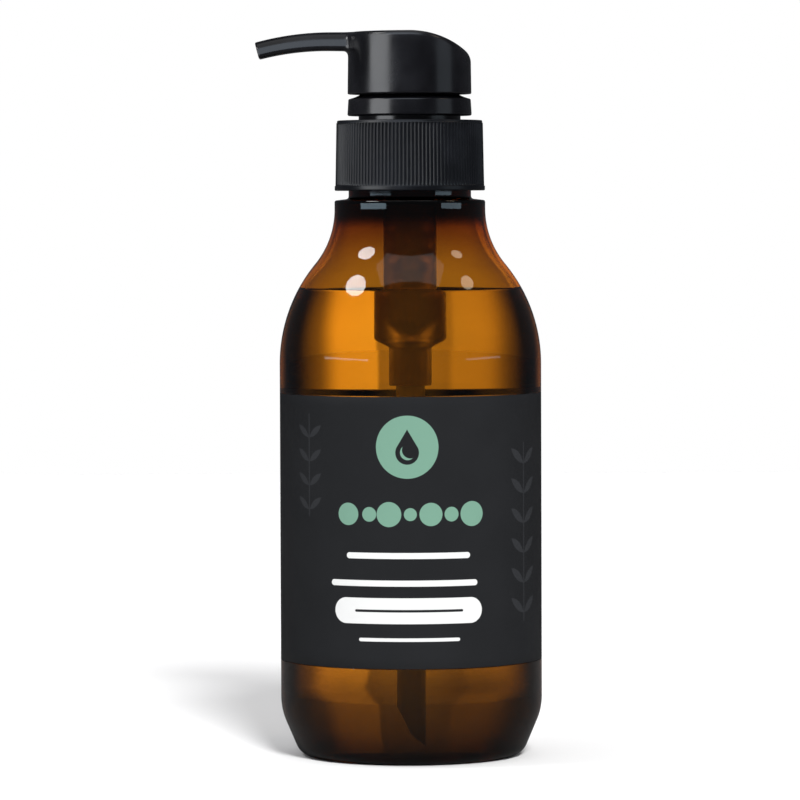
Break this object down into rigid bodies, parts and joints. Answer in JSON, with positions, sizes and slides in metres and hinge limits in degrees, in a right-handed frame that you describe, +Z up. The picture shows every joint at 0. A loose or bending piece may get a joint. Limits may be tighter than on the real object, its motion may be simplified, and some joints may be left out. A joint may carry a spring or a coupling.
{
  "type": "pump shampoo bottle",
  "caption": "Round amber bottle with a wrap label, ribbed screw closure and a lock-down lotion pump with a long drooping spout.",
  "frame": {"origin": "on the bottle's axis, at the plane of the ring that it stands on", "axes": "+Z up along the bottle's axis; the label's front faces -Y; the spout points to -X"},
  "size_m": [0.0676, 0.062, 0.1714],
  "materials": {
    "amber_bottle": "clear amber PET, glossy",
    "label": null,
    "shampoo": "clear liquid",
    "black_closure": "black polypropylene, satin, fine vertical ribs",
    "black_gloss": "black polypropylene, glossy",
    "pump_plastic": "natural polypropylene",
    "tube_plastic": "translucent polyethylene",
    "soft_seal": "soft white polyethylene",
    "steel": "stainless steel"
  },
  "bodies": {
    "bottle": {"bottle": "amber_bottle", "label": "label", "shampoo": "shampoo"},
    "pump": {"housing": "pump_plastic", "lock_collar": "black_gloss", "wiper_seal": "soft_seal", "gasket": "soft_seal", "ball_retainer": "pump_plastic", "dip_tube": "tube_plastic", "spring": "steel"},
    "closure": {"closure": "black_closure"},
    "plug": {"valve_plug": "pump_plastic"},
    "head": {"actuator": "black_gloss", "lock_sleeve": "pump_plastic", "stem": "pump_plastic"},
    "piston": {"piston": "pump_plastic"},
    "inlet_ball": {"inlet_ball": "steel"}
  },
  "joints": [
    {"name": "pump_rise", "type": "slide", "parent": "bottle", "child": "pump", "axis": [0, 0, 1], "range_m": [0, 0.00635]},
    {"name": "closure_turn", "type": "hinge", "parent": "pump", "child": "closure", "pos_m": [0, 0, 0.1422], "axis": [0, 0, 1], "range_deg": [0, 540]},
    {"name": "head_rise", "type": "slide", "parent": "pump", "child": "plug", "axis": [0, 0, 1], "range_m": [0, 0.0165], "stiffness_N_per_m": 630, "springref_m": 0.0297, "deforming": ["spring"]},
    {"name": "head_turn", "type": "hinge", "parent": "plug", "child": "head", "pos_m": [0, 0, 0.164], "axis": [0, 0, 1], "continuous": true},
    {"name": "piston_float", "type": "slide", "parent": "plug", "child": "piston", "axis": [0, 0, -1], "range_m": [0, 0.0012]},
    {"name": "inlet_ball_lift", "type": "slide", "parent": "pump", "child": "inlet_ball", "axis": [0, 0, 1], "range_m": [0, 0.0012]}
  ],
  "couplings": [
    {"joint": "closure_turn", "follows": "pump_rise", "rad_per_m": 1484.3}
  ]
}
